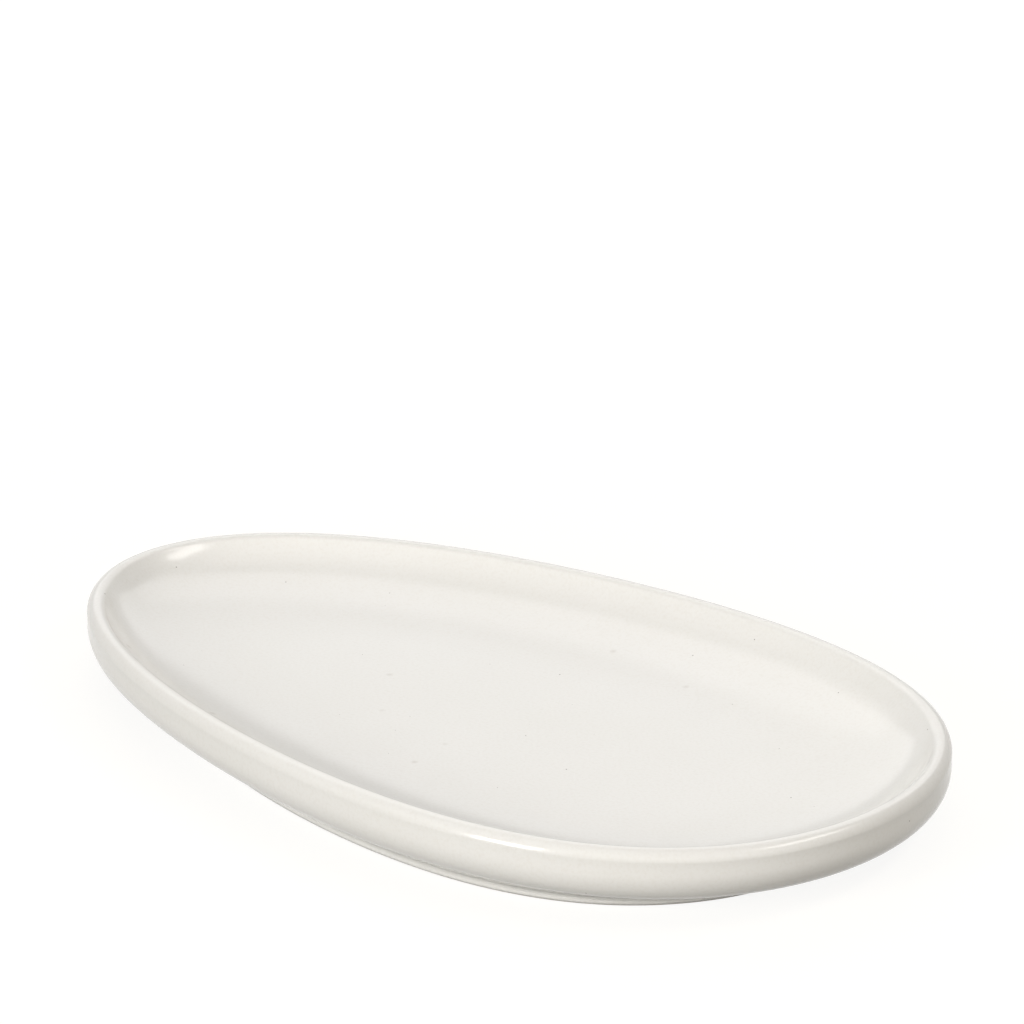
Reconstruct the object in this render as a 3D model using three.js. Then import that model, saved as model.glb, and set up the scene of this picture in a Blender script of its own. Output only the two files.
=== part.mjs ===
// Serving platter of glazed stoneware, a rounded triangle in plan, in millimetres.
// The broad end points along +X, the narrow tip along -X, and the foot ring stands on Z = 0.
import * as THREE from 'three';

// Plan of the rim, measured over the glaze
const LENGTH = 300;
const WIDTH = 180;
const TIP_TAPER = 0.168; // how much the narrow end loses to the broad end
const CORNER_FULLNESS = 0.058; // how far the three corners are filled out

// Heights of the section, from the table up
const RECESS_DEPTH = 3.8; // table to the hollow inside the foot ring
const BASE_THICKNESS = 6.2; // hollow to the floor of the dish
const DISH_DEPTH = 14; // floor of the dish to the top of the lip

// Lip and dish
const LIP_OUTER = 3.4; // radius of the lip's outer shoulder
const LIP_INNER = 2.6; // and of its inner side
const LIP_SLOPE = 55; // degrees at which the lip runs into the dish
const BOWL_SHARE = 0.5; // part of the depth that the shallow bowl takes, the rest being the turned-up rim
const COVE_SIDE = 42; // run of the cove from the lip to the flat floor, at the long sides
const COVE_TIP = 56; // at the tip
const COVE_BROAD = 38; // and at the broad end

// Wall, belly and foot
const WALL_UPRIGHT = 4; // straight wall under the lip
const BELLY_RADIUS = 9.2; // where the wall turns under
const FOOT_FILLET = 2.3; // hollow radius where the belly runs into the foot
const FOOT_SIDE = 1.2; // upright side of the foot
const FOOT_INSET_SIDE = 12.5; // how far the foot stands in from the rim, at the long sides
const FOOT_INSET_TIP = 34; // at the tip
const FOOT_INSET_BROAD = 21.5; // and at the broad end
const FOOT_SLIDE = 14; // degrees by which its points run ahead to the tip, to keep the section square
const FOOT_EDGE = 0.3; // rounding of the foot's outer edge
const FOOT_LAND = 5; // flat ring that stands on the table
const RECESS_SLOPE = 6; // run of the slope from the land into the hollow

// Glaze
const GLAZE = 0.45; // thickness of the fired layer
const GLAZE_SEAT = 0.05; // clearance between the layer and the clay it covers
const GLAZE_LINE = 0.5; // height of bare clay left above the table

// Facets
const SEGMENTS = 64; // round the rim
const COVE_STEPS = 8;
const LIP_STEPS = 4; // on each side of the lip
const BELLY_STEPS = 7;
const FILLET_STEPS = 3;

// Heights and depths worked out from the sizes above
const floorHeight = RECESS_DEPTH + BASE_THICKNESS;
const lipTop = floorHeight + DISH_DEPTH;
const shoulderHeight = lipTop - LIP_OUTER;
const lipSlope = THREE.MathUtils.degToRad(LIP_SLOPE);
const coveRise = DISH_DEPTH - LIP_INNER * (1 - Math.cos(lipSlope));
const bellyStart = shoulderHeight - WALL_UPRIGHT;
const clayDepth = GLAZE + GLAZE_SEAT; // behind the glazed surface

// Rim: an egg along the crest of the lip, x = a cos t and y = b sin t (1 + taper and fullness terms)
const turns = Array.from({ length: SEGMENTS }, (_, i) => (2 * Math.PI * i) / SEGMENTS);
const swell = (t) => 1 + TIP_TAPER * Math.cos(t) + CORNER_FULLNESS * Math.cos(2 * t);
const swellSlope = (t) => -TIP_TAPER * Math.sin(t) - 2 * CORNER_FULLNESS * Math.sin(2 * t);
const widest = Math.max(...turns.map((t) => Math.sin(t) * swell(t)));
const crestHalfLength = LENGTH / 2 - LIP_OUTER;
const crestHalfWidth = (WIDTH / 2 - LIP_OUTER) / widest;

function crest(t) {
  return new THREE.Vector2(crestHalfLength * Math.cos(t), crestHalfWidth * Math.sin(t) * swell(t));
}

function crestOutward(t) {
  const along = new THREE.Vector2(
    -crestHalfLength * Math.sin(t),
    crestHalfWidth * (Math.cos(t) * swell(t) + Math.sin(t) * swellSlope(t)),
  );
  return new THREE.Vector2(along.y, -along.x).normalize();
}

// A loop is a list of plan points, one for each turn round the rim
function parallelLoop(distance, at = turns) {
  return at.map((t) => crest(t).addScaledVector(crestOutward(t), distance));
}

// The same loop drawn in by three distances, at the tip, at the broad end and at the sides
function drawnIn(loop, tip, broad, side) {
  const low = Math.min(...loop.map((point) => point.x));
  const high = Math.max(...loop.map((point) => point.x));
  const halfWidth = Math.max(...loop.map((point) => point.y));
  return loop.map((point) => new THREE.Vector2(
    THREE.MathUtils.mapLinear(point.x, low, high, low + tip, high - broad),
    point.y * (1 - side / halfWidth),
  ));
}

function drawnInEvenly(loop, distance) {
  return drawnIn(loop, distance, distance, distance);
}

function between(from, to, share) {
  return from.map((point, i) => point.clone().lerp(to[i], share));
}

function ring(loop, height) {
  return loop.map((point) => new THREE.Vector3(point.x, point.y, height));
}

// Rings of the cove from the edge of the flat floor up to the lip. A parabola makes the bowl, and a higher
// power of the way out turns the rim up, the one that brings it to the lip's own slope.
function coveRings(floorEdge, lipInside) {
  const powers = floorEdge.map((point, i) => {
    const steepness = (Math.tan(lipSlope) * point.distanceTo(lipInside[i])) / coveRise;
    return Math.max((steepness - 2 * BOWL_SHARE) / (1 - BOWL_SHARE), 2);
  });
  return Array.from({ length: COVE_STEPS }, (_, i) => {
    const share = 1 - (1 - i / COVE_STEPS) ** 2;
    return between(floorEdge, lipInside, share).map((point, j) => {
      const climb = BOWL_SHARE * share ** 2 + (1 - BOWL_SHARE) * share ** powers[j];
      return new THREE.Vector3(point.x, point.y, floorHeight + coveRise * climb);
    });
  });
}

// Rings of one side of the lip, from its crest outward or inward, as far as its sweep
function lipRings(radius, direction, sweep) {
  return Array.from({ length: LIP_STEPS + 1 }, (_, i) => {
    const angle = (i / LIP_STEPS) * sweep;
    const loop = parallelLoop(direction * radius * Math.sin(angle));
    return ring(loop, lipTop - radius * (1 - Math.cos(angle)));
  });
}

// Section of the belly at one point of the wall: its arc and the fillet's, joined by their common tangent.
// Where the run to the foot is too short for the two radii, both shrink until the arcs meet.
function bellySection(wallPoint, footPoint) {
  const run = wallPoint.distanceTo(footPoint);
  const drop = bellyStart - FOOT_SIDE;
  const radii = Math.min(BELLY_RADIUS + FOOT_FILLET, (run ** 2 + drop ** 2) / (2 * run));
  const bellyRadius = (radii * BELLY_RADIUS) / (BELLY_RADIUS + FOOT_FILLET);
  const filletRadius = radii - bellyRadius;
  const straight = Math.sqrt(Math.max(run ** 2 + drop ** 2 - 2 * run * radii, 0));
  const tilt = Math.atan2(drop, radii - run) - Math.atan2(straight, radii);
  const at = (inset, height) => {
    const point = wallPoint.clone().lerp(footPoint, inset / run);
    return new THREE.Vector3(point.x, point.y, height);
  };
  const belly = Array.from({ length: BELLY_STEPS + 1 }, (_, i) => {
    const angle = (tilt * i) / BELLY_STEPS;
    return at(bellyRadius * (1 - Math.cos(angle)), bellyStart - bellyRadius * Math.sin(angle));
  });
  const fillet = Array.from({ length: FILLET_STEPS + 1 }, (_, i) => {
    const angle = tilt * (1 - i / FILLET_STEPS);
    return at(run - filletRadius * (1 - Math.cos(angle)), FOOT_SIDE + filletRadius * Math.sin(angle));
  });
  return [...belly, ...fillet];
}

function bellyRings(wall, foot) {
  const sections = wall.map((point, i) => bellySection(point, foot[i]));
  return sections[0].map((_, row) => sections.map((section) => section[row]));
}

// A sheet is a centre point and the rings round it, from the middle out
function sheetIndex(ringCount) {
  const index = [];
  const at = (row, i) => 1 + row * SEGMENTS + (i % SEGMENTS);
  for (let i = 0; i < SEGMENTS; i += 1) {
    index.push(0, at(0, i), at(0, i + 1));
    for (let row = 0; row + 1 < ringCount; row += 1) {
      index.push(at(row, i), at(row + 1, i), at(row + 1, i + 1));
      index.push(at(row, i), at(row + 1, i + 1), at(row, i + 1));
    }
  }
  return index;
}

// The sheet moved against its normals, which point to its upper or outer side
function sunk(sheet, distance) {
  const points = [sheet.centre, ...sheet.rings.flat()];
  const geometry = new THREE.BufferGeometry().setFromPoints(points);
  geometry.setIndex(sheetIndex(sheet.rings.length));
  geometry.computeVertexNormals();
  const normals = geometry.getAttribute('normal');
  const moved = points.map((point, i) => {
    const normal = new THREE.Vector3().fromBufferAttribute(normals, i);
    return point.clone().addScaledVector(normal, -distance);
  });
  const rings = sheet.rings.map((_, row) => moved.slice(1 + row * SEGMENTS, 1 + (row + 1) * SEGMENTS));
  return { centre: moved[0], rings };
}

// A closed solid from two sheets, the lower one facing down, joined round their outer edges
function solidBetween(top, lower) {
  const topPoints = [top.centre, ...top.rings.flat()];
  const lowerPoints = [lower.centre, ...lower.rings.flat()];
  const index = sheetIndex(top.rings.length);
  const lowerIndex = sheetIndex(lower.rings.length).map((i) => topPoints.length + i);
  for (let i = 0; i < lowerIndex.length; i += 3) {
    index.push(lowerIndex[i], lowerIndex[i + 2], lowerIndex[i + 1]);
  }
  const points = [...topPoints, ...lowerPoints];
  const topEdge = topPoints.length - SEGMENTS;
  const lowerEdge = points.length - SEGMENTS;
  for (let i = 0; i < SEGMENTS; i += 1) {
    const next = (i + 1) % SEGMENTS;
    index.push(topEdge + i, lowerEdge + i, lowerEdge + next);
    index.push(topEdge + i, lowerEdge + next, topEdge + next);
  }
  const geometry = new THREE.BufferGeometry().setFromPoints(points);
  geometry.setIndex(index);
  geometry.computeVertexNormals();
  return geometry;
}

// Loops that the section runs through
const lipInside = parallelLoop(-LIP_INNER * Math.sin(lipSlope));
const wallOutside = parallelLoop(LIP_OUTER);
const floorEdge = drawnIn(lipInside, COVE_TIP, COVE_BROAD, COVE_SIDE);
const slide = THREE.MathUtils.degToRad(FOOT_SLIDE);
const footTurns = turns.map((t) => t + (slide * Math.sin(t) * (1 - Math.cos(t))) / 2);
const footRim = parallelLoop(LIP_OUTER, footTurns);
const footSide = drawnIn(footRim, FOOT_INSET_TIP, FOOT_INSET_BROAD, FOOT_INSET_SIDE);

// Outer side of the glaze coat: floor, cove, lip, belly, and the foot down to the glaze line
const coatOutside = {
  centre: new THREE.Vector3(0, 0, floorHeight),
  rings: [
    ...coveRings(floorEdge, lipInside),
    ...lipRings(LIP_INNER, -1, lipSlope).reverse(),
    ...lipRings(LIP_OUTER, 1, Math.PI / 2).slice(1),
    ...bellyRings(wallOutside, footSide),
    ring(footSide, GLAZE_LINE),
  ],
};
const coatInside = sunk(coatOutside, GLAZE);
const clayUnderCoat = sunk(coatOutside, clayDepth);

// Outer side of the base glaze, which faces down: the hollow, and its slope as far as the glaze line
const claySide = drawnInEvenly(footSide, clayDepth);
const landOutside = drawnInEvenly(claySide, FOOT_EDGE);
const landInside = drawnInEvenly(landOutside, FOOT_LAND);
const recessEdge = drawnInEvenly(landInside, RECESS_SLOPE);
const slopeShare = GLAZE_LINE / RECESS_DEPTH;
const hollow = {
  centre: new THREE.Vector3(0, 0, RECESS_DEPTH),
  rings: [ring(recessEdge, RECESS_DEPTH), ring(between(landInside, recessEdge, slopeShare), GLAZE_LINE)],
};
const baseGlazeTop = sunk(hollow, -GLAZE);
const clayOverBase = sunk(hollow, -clayDepth);

// Clay body: both glazed sides, joined by the bare foot ring
const body = solidBetween(clayUnderCoat, {
  centre: clayOverBase.centre,
  rings: [...clayOverBase.rings, ring(landInside, 0), ring(landOutside, 0), ring(claySide, FOOT_EDGE)],
});

function piece(name, geometry, material) {
  const mesh = new THREE.Mesh(geometry, new THREE.MeshStandardMaterial(material));
  mesh.name = name;
  return mesh;
}

const platter = new THREE.Group();
const coat = solidBetween(coatOutside, coatInside);
const baseGlaze = solidBetween(baseGlazeTop, hollow);
platter.add(
  piece('stoneware_body', body, { color: 0xd8cdba, roughness: 0.85, metalness: 0 }),
  piece('glaze_coat', coat, { color: 0xedebe6, roughness: 0.12, metalness: 0 }),
  piece('base_glaze', baseGlaze, { color: 0xebe8e2, roughness: 0.15, metalness: 0 }),
);

export default platter;
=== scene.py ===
# Serving platter of glazed stoneware, a rounded triangle in plan. The broad end points along +X, the narrow
# tip along -X, and the foot ring stands on Z = 0. The platter's sizes are in millimetres until a mesh is
# made, and those of the table, the camera and the lamps in metres.
import math

import bpy
import numpy as np
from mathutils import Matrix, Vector


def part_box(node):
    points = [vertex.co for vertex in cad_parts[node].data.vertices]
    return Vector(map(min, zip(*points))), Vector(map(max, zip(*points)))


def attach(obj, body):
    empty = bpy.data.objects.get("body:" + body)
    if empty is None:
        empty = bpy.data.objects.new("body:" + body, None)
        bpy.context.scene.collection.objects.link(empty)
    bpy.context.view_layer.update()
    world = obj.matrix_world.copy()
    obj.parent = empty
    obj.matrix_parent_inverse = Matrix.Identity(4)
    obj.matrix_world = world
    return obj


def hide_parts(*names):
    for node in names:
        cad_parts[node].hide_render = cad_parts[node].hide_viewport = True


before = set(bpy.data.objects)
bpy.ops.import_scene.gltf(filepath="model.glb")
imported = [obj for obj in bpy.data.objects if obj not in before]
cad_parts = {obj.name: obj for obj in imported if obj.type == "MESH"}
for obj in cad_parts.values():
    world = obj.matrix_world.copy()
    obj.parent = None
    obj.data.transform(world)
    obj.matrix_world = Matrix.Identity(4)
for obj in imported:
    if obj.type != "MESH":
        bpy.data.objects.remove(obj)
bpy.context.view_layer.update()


# Stoneware body. One piece of fired clay with the dish, lip, belly and foot ring in it, pressed between
# two plaster moulds. All of it lies under glaze, apart from the foot ring it stood on in the kiln.
MM = 0.001
coat_low, coat_high = (np.array(corner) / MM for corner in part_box("glaze_coat"))
LENGTH, WIDTH = (coat_high - coat_low)[:2]
LIP_TOP = coat_high[2]
TIP_TAPER = 0.168  # how much the narrow end loses to the broad end
CORNER_FULLNESS = 0.058  # how far the three corners are filled out
LIP_OUTER = 3.4  # radius of the lip's outer shoulder
LIP_INNER = 2.6  # and of its inner side
NECK = 0.07  # depth of the soft groove under the lip
NECK_HEIGHT = 19.4  # table to the middle of the groove
NECK_REACH = 1.7  # height over which it fades out, up and down
FLOOR = 10.0  # table to the floor of the dish
LIP_SLOPE = math.radians(55)  # at which the lip runs into the dish
BOWL_SHARE = 0.5  # part of the depth that the shallow bowl takes, the rest being the turned-up rim
COVE_SIDE = 42.0  # run of the cove from the lip to the flat floor, at the long sides
COVE_TIP = 56.0  # at the tip
COVE_BROAD = 38.0  # and at the broad end
WALL_UPRIGHT = 4.0  # straight wall under the lip
BELLY_RADIUS = 9.2  # where the wall turns under
FOOT_FILLET = 2.3  # hollow radius where the belly runs into the foot
FOOT_UPRIGHT = 1.2  # side of the foot
FOOT_INSET_SIDE = 12.5  # how far the foot stands in from the rim, at the long sides
FOOT_INSET_TIP = 34.0  # at the tip
FOOT_INSET_BROAD = 21.5  # and at the broad end
FOOT_SLIDE = math.radians(14)  # its points run ahead to the tip, to keep the section square
FOOT_EDGE = 0.3  # rounding of the foot's outer edge
FOOT_LAND = 5.0  # flat ring that stands on the table
RECESS_DEPTH = 3.8  # table to the hollow inside the foot ring
RECESS_SLOPE = 6.0  # run from the flat ring up into the hollow
GLAZE = 0.45  # thickness of the fired layer
GLAZE_SEAT = 0.05  # the clay starts this far behind the glaze
GLAZE_LINE = 0.5  # height of bare clay left above the table
SEGMENTS = 320  # points round each ring of the mesh
FLOOR_STEPS = 10  # rings from the middle to the edge of the flat floor
COVE_STEPS = 48  # up the cove
LIP_INNER_STEPS = 12  # up the lip's inner side
LIP_OUTER_STEPS = 16  # over its outer shoulder
WALL_STEPS = 12  # down the wall
BELLY_STEPS = 25  # round the belly
TANGENT_STEPS = 4  # along the straight from the belly to the fillet
FILLET_STEPS = 12  # and through the fillet
HOLLOW_STEPS = 12  # rings over the hollow inside the foot ring
WIDTH_SAMPLES = 2000  # points among which the egg's widest place is found

# Crest of the lip in plan, an egg, and the direction that points out of it
turn = np.linspace(0.0, 2 * math.pi, SEGMENTS, endpoint=False)
foot_turn = turn + FOOT_SLIDE * np.sin(turn) * (1 - np.cos(turn)) / 2


def swell(turn):
    return 1 + TIP_TAPER * np.cos(turn) + CORNER_FULLNESS * np.cos(2 * turn)


def egg(turn):
    half_length = LENGTH / 2 - LIP_OUTER
    every_turn = np.linspace(0.0, math.pi, WIDTH_SAMPLES)
    half_width = (WIDTH / 2 - LIP_OUTER) / np.max(np.sin(every_turn) * swell(every_turn))
    swell_slope = -TIP_TAPER * np.sin(turn) - 2 * CORNER_FULLNESS * np.sin(2 * turn)
    crest = np.column_stack([half_length * np.cos(turn), half_width * np.sin(turn) * swell(turn)])
    along = np.column_stack([
        -half_length * np.sin(turn),
        half_width * (np.cos(turn) * swell(turn) + np.sin(turn) * swell_slope),
    ])
    outward = np.column_stack([along[:, 1], -along[:, 0]])
    return crest, outward / np.linalg.norm(outward, axis=1)[:, None]


crest, outward = egg(turn)
foot_crest, foot_outward = egg(foot_turn)


def parallel(distance):
    return crest + distance * outward


# The same loop drawn in by three distances, at the tip, at the broad end and at the sides
def drawn_in(loop, tip, broad, side):
    low, high = loop.min(axis=0), loop.max(axis=0)
    long = np.interp(loop[:, 0], (low[0], high[0]), (low[0] + tip, high[0] - broad))
    return np.column_stack([long, loop[:, 1] * (1 - side / high[1])])


def drawn_in_evenly(loop, distance):
    return drawn_in(loop, distance, distance, distance)


def ring(loop, height):
    return np.column_stack([loop, np.full(SEGMENTS, height)])


# Rings of the wall, the belly's arc and the fillet above the foot. The two arcs share a tangent, and their
# tilt differs round the rim, because the foot stands in furthest at the tip.
def belly_rings(wall, foot):
    belly_start = LIP_TOP - LIP_OUTER - WALL_UPRIGHT
    to_foot = foot - wall
    run = np.linalg.norm(to_foot, axis=1)
    drop = belly_start - FOOT_UPRIGHT
    radii = BELLY_RADIUS + FOOT_FILLET
    straight = np.sqrt(run ** 2 + drop ** 2 - 2 * run * radii)
    tilt = np.arctan2(drop, radii - run) - np.arctan2(straight, radii)
    insets = [np.zeros(SEGMENTS)] * WALL_STEPS
    wall_heights = np.linspace(LIP_TOP - LIP_OUTER, belly_start, WALL_STEPS)
    heights = [np.full(SEGMENTS, height) for height in wall_heights]
    for share in np.arange(1, BELLY_STEPS + 1) / BELLY_STEPS:
        insets.append(BELLY_RADIUS * (1 - np.cos(tilt * share)))
        heights.append(belly_start - BELLY_RADIUS * np.sin(tilt * share))
    belly_inset, belly_height = insets[-1], heights[-1]
    fillet_inset = run - FOOT_FILLET * (1 - np.cos(tilt))
    fillet_height = FOOT_UPRIGHT + FOOT_FILLET * np.sin(tilt)
    for share in np.arange(1, TANGENT_STEPS) / TANGENT_STEPS:
        insets.append(belly_inset * (1 - share) + fillet_inset * share)
        heights.append(belly_height * (1 - share) + fillet_height * share)
    for share in np.linspace(1.0, 0.0, FILLET_STEPS):
        insets.append(run - FOOT_FILLET * (1 - np.cos(tilt * share)))
        heights.append(FOOT_UPRIGHT + FOOT_FILLET * np.sin(tilt * share))
    rings = []
    for inset, height in zip(insets, heights):
        groove = NECK * np.exp(-((height - NECK_HEIGHT) / NECK_REACH) ** 2)
        loop = wall + to_foot * (inset / run)[:, None] - outward * groove[:, None]
        rings.append(np.column_stack([loop, height]))
    return rings


# Rings of the glazed surface, from the middle of the dish over the lip and down to the glaze line. A
# parabola makes the bowl of the dish, and a higher power of the way out turns its rim up to the lip's slope.
def glazed_rings():
    lip_inside = parallel(-LIP_INNER * math.sin(LIP_SLOPE))
    rise = LIP_TOP - LIP_INNER * (1 - math.cos(LIP_SLOPE)) - FLOOR
    floor_edge = drawn_in(lip_inside, COVE_TIP, COVE_BROAD, COVE_SIDE)
    steepness = math.tan(LIP_SLOPE) * np.linalg.norm(lip_inside - floor_edge, axis=1) / rise
    power = (steepness - 2 * BOWL_SHARE) / (1 - BOWL_SHARE)
    shoulder = parallel(LIP_OUTER)
    foot_rim = foot_crest + LIP_OUTER * foot_outward
    foot_side = drawn_in(foot_rim, FOOT_INSET_TIP, FOOT_INSET_BROAD, FOOT_INSET_SIDE)
    rings = [ring(floor_edge * share, FLOOR) for share in np.arange(1, FLOOR_STEPS) / FLOOR_STEPS]
    for share in 1 - np.linspace(1.0, 0.0, COVE_STEPS, endpoint=False) ** 2:
        loop = floor_edge + (lip_inside - floor_edge) * share
        climb = BOWL_SHARE * share ** 2 + (1 - BOWL_SHARE) * share ** power
        rings.append(np.column_stack([loop, FLOOR + rise * climb]))
    for angle in np.linspace(LIP_SLOPE, 0.0, LIP_INNER_STEPS, endpoint=False):
        height = LIP_TOP - LIP_INNER * (1 - math.cos(angle))
        rings.append(ring(parallel(-LIP_INNER * math.sin(angle)), height))
    for angle in np.linspace(0.0, math.pi / 2, LIP_OUTER_STEPS, endpoint=False):
        height = LIP_TOP - LIP_OUTER * (1 - math.cos(angle))
        rings.append(ring(parallel(LIP_OUTER * math.sin(angle)), height))
    rings += belly_rings(shoulder, foot_side)
    rings.append(ring(foot_side, GLAZE_LINE))
    return np.array(rings), foot_side


# Unit normals of a stack of rings, from its slopes along and round it
def ring_normals(rings):
    inward_to_out = np.gradient(rings, axis=0)
    round_about = np.roll(rings, -1, axis=1) - np.roll(rings, 1, axis=1)
    normals = np.cross(inward_to_out, round_about)
    return normals / np.linalg.norm(normals, axis=2)[:, :, None]


# A closed mesh from one sheet of rings and a second one below it, each with a point in its middle
def sheet_pair(name, top, lower, body, replaced):
    rings = np.concatenate([top, lower[::-1]])
    points = np.concatenate([
        [[0.0, 0.0, top[0, :, 2].mean()]],
        rings.reshape(-1, 3),
        [[0.0, 0.0, lower[0, :, 2].mean()]],
    ])
    rows = len(rings)
    here = 1 + np.arange(rows * SEGMENTS).reshape(rows, SEGMENTS)
    beside = np.roll(here, -1, axis=1)
    last = len(points) - 1
    faces = [[0, a, b] for a, b in zip(here[0], beside[0])]
    walls = np.stack([here[:-1], here[1:], beside[1:], beside[:-1]], axis=-1)
    faces += walls.reshape(-1, 4).tolist()
    faces += [[a, last, b] for a, b in zip(here[-1], beside[-1])]
    mesh = bpy.data.meshes.new(name)
    mesh.from_pydata((points * MM).tolist(), [], faces)
    mesh.validate()
    mesh.shade_smooth()
    piece = bpy.data.objects.new(name, mesh)
    bpy.context.scene.collection.objects.link(piece)
    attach(piece, body)
    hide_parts(replaced)
    return piece


coat_rings, foot_side = glazed_rings()
coat_normals = ring_normals(coat_rings)
clay_side = drawn_in_evenly(foot_side, GLAZE + GLAZE_SEAT)
land_outside = drawn_in_evenly(clay_side, FOOT_EDGE)
land_inside = drawn_in_evenly(land_outside, FOOT_LAND)
recess_edge = drawn_in_evenly(land_inside, RECESS_SLOPE)
glaze_stop = land_inside + (recess_edge - land_inside) * (GLAZE_LINE / RECESS_DEPTH)
hollow_rings = np.array(
    [ring(recess_edge * share, RECESS_DEPTH) for share in np.linspace(0.1, 1.0, HOLLOW_STEPS)]
    + [ring(glaze_stop, GLAZE_LINE)]
)
hollow_normals = ring_normals(hollow_rings)
foot_rings = np.array([ring(land_inside, 0.0), ring(land_outside, 0.0), ring(clay_side, FOOT_EDGE)])
clay_top = coat_rings - (GLAZE + GLAZE_SEAT) * coat_normals
clay_under = np.concatenate([hollow_rings + (GLAZE + GLAZE_SEAT) * hollow_normals, foot_rings])
clay_body = sheet_pair("clay_body", clay_top, clay_under, "root", "stoneware_body")


# sRGB hex to the linear colour that a shader reads
def linear(code):
    parts = [int(code[i:i + 2], 16) / 255 for i in (1, 3, 5)]
    return tuple(p / 12.92 if p <= 0.04045 else ((p + 0.055) / 1.055) ** 2.4 for p in parts) + (1.0,)


# One node with its settings, and its sockets set to a value or linked to another node's output
def node(tree, kind, sockets=None, **settings):
    made = tree.nodes.new(kind)
    for name, value in settings.items():
        setattr(made, name, value)
    for socket, value in (sockets or {}).items():
        if isinstance(value, bpy.types.NodeSocket):
            tree.links.new(value, made.inputs[socket])
        else:
            made.inputs[socket].default_value = value
    return made


def new_material(name):
    material = bpy.data.materials.new(name)
    material.use_nodes = True
    material.node_tree.nodes.clear()
    return material, material.node_tree


# Dry stoneware, fired without glaze: matt and warm beige, with darker sand grains and a rough skin
GRAIN = 1.1  # spacing of the sand grains
GRAIN_RELIEF = 0.08  # depth of the rough skin between them
CLAY_CLOUD = 14.0  # width of the changes in the clay's tone
bare_stoneware, tree = new_material("dry_fired_stoneware")
place = node(tree, "ShaderNodeTexCoord").outputs["Object"]
grains = node(tree, "ShaderNodeTexVoronoi", {"Vector": place, "Scale": 1 / (GRAIN * MM)})
grain_mark = node(tree, "ShaderNodeMapRange", {
    "Value": grains.outputs["Distance"], "From Min": 0.10, "From Max": 0.24, "To Min": 1.0, "To Max": 0.0,
})
clay_tone = node(tree, "ShaderNodeTexNoise", {
    "Vector": place, "Scale": 1 / (CLAY_CLOUD * MM), "Detail": 4.0,
})
clay_colour = node(tree, "ShaderNodeMix", {
    "Factor": clay_tone.outputs["Fac"], "A": linear("#D6CAB7"), "B": linear("#E0D6C5"),
}, data_type="RGBA")
speckled_clay = node(tree, "ShaderNodeMix", {
    "Factor": grain_mark.outputs["Result"], "A": clay_colour.outputs["Result"], "B": linear("#AD9B81"),
}, data_type="RGBA")
skin = node(tree, "ShaderNodeBump", {
    "Height": grains.outputs["Distance"], "Strength": 0.5, "Distance": GRAIN_RELIEF * MM,
})
clay = node(tree, "ShaderNodeBsdfPrincipled", {
    "Base Color": speckled_clay.outputs["Result"], "Roughness": 0.85, "IOR": 1.5,
    "Normal": skin.outputs["Normal"],
})
node(tree, "ShaderNodeOutputMaterial", {"Surface": clay.outputs["BSDF"]})
clay_body.data.materials.append(bare_stoneware)


# Glaze coat. A glass layer dipped over the dish, the lip, the belly and the outside of the foot, and fired
# onto the clay. It stops at a wiped line just above the table.
coat_inside = coat_rings - GLAZE * coat_normals
glaze_coat = sheet_pair("glaze_coat_skin", coat_rings, coat_inside, "root", "glaze_coat")

# Glossy warm white stoneware glaze, dipped and fired: opaque, with a wet shine on soft swells, sparse dark
# iron specks, a few pale grey blooms and a fine clouding
SPECK_SPACING = 5.0
SPECK_RADIUS = 0.28  # of the largest
SPECK_EDGE = 0.08  # width over which a speck darkens
SPECK_FREE = 0.35  # share of the places for a speck that stay clean
TONE_CLOUD = 55.0  # width of the broad changes in tone
MOTTLE = 1.0  # width of the fine clouding
BLOOM_SPACING = 26.0
BLOOM_RADIUS = 1.6
WAVE = 13.0  # width of the soft swells in the glaze surface
WAVE_RELIEF = 0.035  # and their height
white_glaze, tree = new_material("white_stoneware_glaze")
place = node(tree, "ShaderNodeTexCoord").outputs["Object"]
specks = node(tree, "ShaderNodeTexVoronoi", {"Vector": place, "Scale": 1 / (SPECK_SPACING * MM)})
speck_draw = node(tree, "ShaderNodeSeparateColor", {"Color": specks.outputs["Color"]})
speck_reach = node(tree, "ShaderNodeMapRange", {
    "Value": speck_draw.outputs["Red"], "From Min": SPECK_FREE, "From Max": 1.0,
    "To Min": 0.0, "To Max": SPECK_RADIUS / SPECK_SPACING,
})
speck_inside = node(tree, "ShaderNodeMath", {
    0: speck_reach.outputs["Result"], 1: specks.outputs["Distance"],
}, operation="SUBTRACT")
speck_mark = node(tree, "ShaderNodeMapRange", {
    "Value": speck_inside.outputs["Value"], "From Min": 0.0, "From Max": SPECK_EDGE / SPECK_SPACING,
    "To Max": 0.75,
})
tone = node(tree, "ShaderNodeTexNoise", {"Vector": place, "Scale": 1 / (TONE_CLOUD * MM), "Detail": 3.0})
glaze_colour = node(tree, "ShaderNodeMix", {
    "Factor": tone.outputs["Fac"], "A": linear("#E6E5E0"), "B": linear("#EBEAE7"),
}, data_type="RGBA")
mottle = node(tree, "ShaderNodeTexNoise", {"Vector": place, "Scale": 1 / (MOTTLE * MM), "Detail": 2.0})
mottle_mark = node(tree, "ShaderNodeMapRange", {
    "Value": mottle.outputs["Fac"], "From Min": 0.45, "From Max": 0.75, "To Max": 0.2,
})
clouded_glaze = node(tree, "ShaderNodeMix", {
    "Factor": mottle_mark.outputs["Result"], "A": glaze_colour.outputs["Result"], "B": linear("#D8D3C9"),
}, data_type="RGBA")
blooms = node(tree, "ShaderNodeTexVoronoi", {"Vector": place, "Scale": 1 / (BLOOM_SPACING * MM)})
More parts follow.
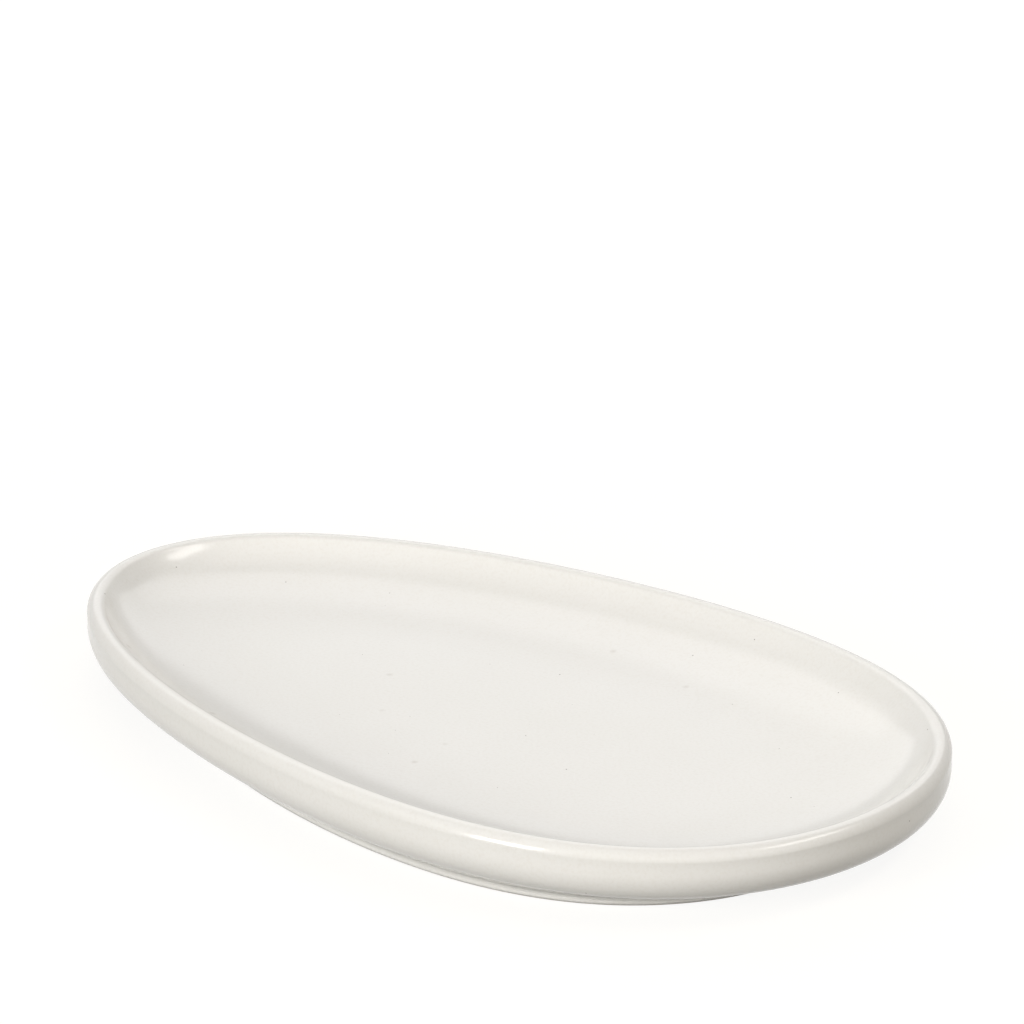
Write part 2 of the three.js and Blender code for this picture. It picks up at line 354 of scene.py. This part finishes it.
bloom_mark = node(tree, "ShaderNodeMapRange", {
    "Value": blooms.outputs["Distance"], "From Min": 0.0, "From Max": BLOOM_RADIUS / BLOOM_SPACING,
    "To Min": 0.6, "To Max": 0.0,
}, interpolation_type="SMOOTHSTEP")
bloomed_glaze = node(tree, "ShaderNodeMix", {
    "Factor": bloom_mark.outputs["Result"], "A": clouded_glaze.outputs["Result"], "B": linear("#CFCBC4"),
}, data_type="RGBA")
speckled_glaze = node(tree, "ShaderNodeMix", {
    "Factor": speck_mark.outputs["Result"], "A": bloomed_glaze.outputs["Result"], "B": linear("#5C5246"),
}, data_type="RGBA")
waves = node(tree, "ShaderNodeTexNoise", {"Vector": place, "Scale": 1 / (WAVE * MM), "Detail": 1.0})
swells = node(tree, "ShaderNodeBump", {
    "Height": waves.outputs["Fac"], "Strength": 1.0, "Distance": WAVE_RELIEF * MM,
})
glass = node(tree, "ShaderNodeBsdfPrincipled", {
    "Base Color": speckled_glaze.outputs["Result"], "Roughness": 0.16, "IOR": 1.5,
    "Normal": swells.outputs["Normal"],
})
node(tree, "ShaderNodeOutputMaterial", {"Surface": glass.outputs["BSDF"]})
glaze_coat.data.materials.append(white_glaze)


# Base glaze. The separate patch of the same glaze inside the foot ring, poured in and swirled round. The
# bare ring parts it from the coat.
base_top = hollow_rings + GLAZE * hollow_normals
base_glaze = sheet_pair("base_glaze_skin", base_top, hollow_rings, "root", "base_glaze")
base_glaze.data.materials.append(white_glaze)


# Floor. A white table top, large enough to have no edge in view. It takes the platter's shadow, and its own
# glow for the camera and for reflections brings it up to white.
FLOOR_HALF = 4.0
FLOOR_GAP = 0.05 * MM  # keeps the table's face from lying in the foot ring's
floor_mesh = bpy.data.meshes.new("table_top")
floor_mesh.from_pydata(
    [(x * FLOOR_HALF, y * FLOOR_HALF, -FLOOR_GAP) for x, y in ((-1, -1), (1, -1), (1, 1), (-1, 1))],
    [],
    [(0, 1, 2, 3)],
)
table_top = bpy.data.objects.new("table_top", floor_mesh)
bpy.context.scene.collection.objects.link(table_top)


# 1 for a ray that the camera sees, straight, mirrored or through glass, and 0 for one that only lights
def seen_rays(tree):
    rays = node(tree, "ShaderNodeLightPath").outputs
    seen = node(tree, "ShaderNodeMath", {
        0: rays["Is Camera Ray"], 1: rays["Is Glossy Ray"],
    }, operation="MAXIMUM")
    seen = node(tree, "ShaderNodeMath", {
        0: seen.outputs["Value"], 1: rays["Is Transmission Ray"],
    }, operation="MAXIMUM")
    return seen.outputs["Value"]


# White laminate with a matt press finish: even, and with no highlight of its own
TABLE_GLOW = 0.88
white_table, tree = new_material("white_laminate")
glow = node(tree, "ShaderNodeMath", {0: seen_rays(tree), 1: TABLE_GLOW}, operation="MULTIPLY")
matt = node(tree, "ShaderNodeBsdfDiffuse", {"Color": linear("#79766D")})
shine = node(tree, "ShaderNodeEmission", {"Color": linear("#FFFFFF"), "Strength": glow.outputs["Value"]})
both = node(tree, "ShaderNodeAddShader", {0: matt.outputs["BSDF"], 1: shine.outputs["Emission"]})
node(tree, "ShaderNodeOutputMaterial", {"Surface": both.outputs["Shader"]})
floor_mesh.materials.append(white_table)


# Camera and light. The camera looks across the near long side from a little above, with the tip to the left.
# A window stands to its left and a lamp hangs high on the right. Broad white cards light the front, the back
# and the dish from behind, and the room fills in warm and dim.
AZIMUTH, ELEVATION = math.radians(43.47), math.radians(22.54)
LENS, SENSOR = 149.54, 36.0  # in millimetres, as Blender takes them
DISTANCE = 1.257  # from the platter's middle to the camera
MIDDLE_HEIGHT = 0.015  # table to that middle
AIM_RIGHT, AIM_UP = 0.0075, 0.0550  # from the middle to the centre of the frame, as the camera sees it
VIEW_END = 20.0
right = Vector((math.cos(AZIMUTH), math.sin(AZIMUTH), 0.0))
away = Vector((-math.sin(AZIMUTH), math.cos(AZIMUTH), 0.0))
upward = Vector((0.0, 0.0, 1.0))
to_camera = upward * math.sin(ELEVATION) - away * math.cos(ELEVATION)
camera_up = away * math.sin(ELEVATION) + upward * math.cos(ELEVATION)
middle = upward * MIDDLE_HEIGHT
aim = middle + right * AIM_RIGHT + camera_up * AIM_UP
camera_data = bpy.data.cameras.new("camera")
camera_data.lens = LENS
camera_data.sensor_width = SENSOR
camera_data.clip_end = VIEW_END
camera = bpy.data.objects.new("camera", camera_data)
camera.location = middle + to_camera * DISTANCE
camera.rotation_mode = "QUATERNION"
camera.rotation_quaternion = (aim - camera.location).to_track_quat("-Z", "Y")
bpy.context.scene.collection.objects.link(camera)
bpy.context.scene.camera = camera


# A soft lamp that faces the dish, from a direction given as right, away and up. One that isn't mirrored
# gives light without a highlight in the glaze.
def soft_lamp(name, direction, distance, width, height, radiance, colour="#FFFFFF", mirrored=True):
    towards = (right * direction[0] + away * direction[1] + upward * direction[2]).normalized()
    lamp = bpy.data.lights.new(name, "AREA")
    lamp.shape = "RECTANGLE"
    lamp.size, lamp.size_y = width, height
    lamp.energy = radiance * math.pi * width * height
    lamp.color = linear(colour)[:3]
    lamp_object = bpy.data.objects.new(name, lamp)
    lamp_object.location = towards * distance
    lamp_object.visible_camera = False
    lamp_object.visible_glossy = mirrored
    lamp_object.rotation_mode = "QUATERNION"
    lamp_object.rotation_quaternion = (-towards).to_track_quat("-Z", "Y")
    bpy.context.scene.collection.objects.link(lamp_object)


CARD_WHITE = "#FFFCF8"
soft_lamp(
    "window", (-0.69, -0.66, 0.30), distance=1.4, width=0.40, height=0.54, radiance=14.0,
)
soft_lamp(
    "front_card", (0.03, -0.90, 0.43), distance=1.5, width=3.20, height=0.50, radiance=3.4,
    colour=CARD_WHITE, mirrored=False,
)
soft_lamp(
    "right_lamp", (0.60, -0.17, 0.78), distance=1.3, width=0.70, height=0.26, radiance=5.6,
    colour=CARD_WHITE,
)
soft_lamp(
    "backdrop", (0.02, 0.77, 0.63), distance=1.3, width=1.30, height=1.20, radiance=0.9,
)
soft_lamp(
    "upper_card", (-0.04, 0.68, 0.73), distance=1.25, width=1.50, height=0.60, radiance=0.7,
)
soft_lamp(
    "back_card", (0.00, 0.96, 0.28), distance=1.5, width=2.00, height=0.50, radiance=1.6,
    colour=CARD_WHITE, mirrored=False,
)

ROOM_FILL = 0.12  # light that the room gives back
world = bpy.data.worlds.new("studio")
world.use_nodes = True
tree = world.node_tree
tree.nodes.clear()
fill = node(tree, "ShaderNodeBackground", {"Color": linear("#FFF6EA"), "Strength": ROOM_FILL})
white = node(tree, "ShaderNodeBackground", {"Color": linear("#FFFFFF"), "Strength": 1.0})
mixed = node(tree, "ShaderNodeMixShader", {
    0: seen_rays(tree), 1: fill.outputs["Background"], 2: white.outputs["Background"],
})
node(tree, "ShaderNodeOutputWorld", {"Surface": mixed.outputs["Shader"]})
bpy.context.scene.world = world
bpy.context.scene.view_settings.view_transform = "Standard"
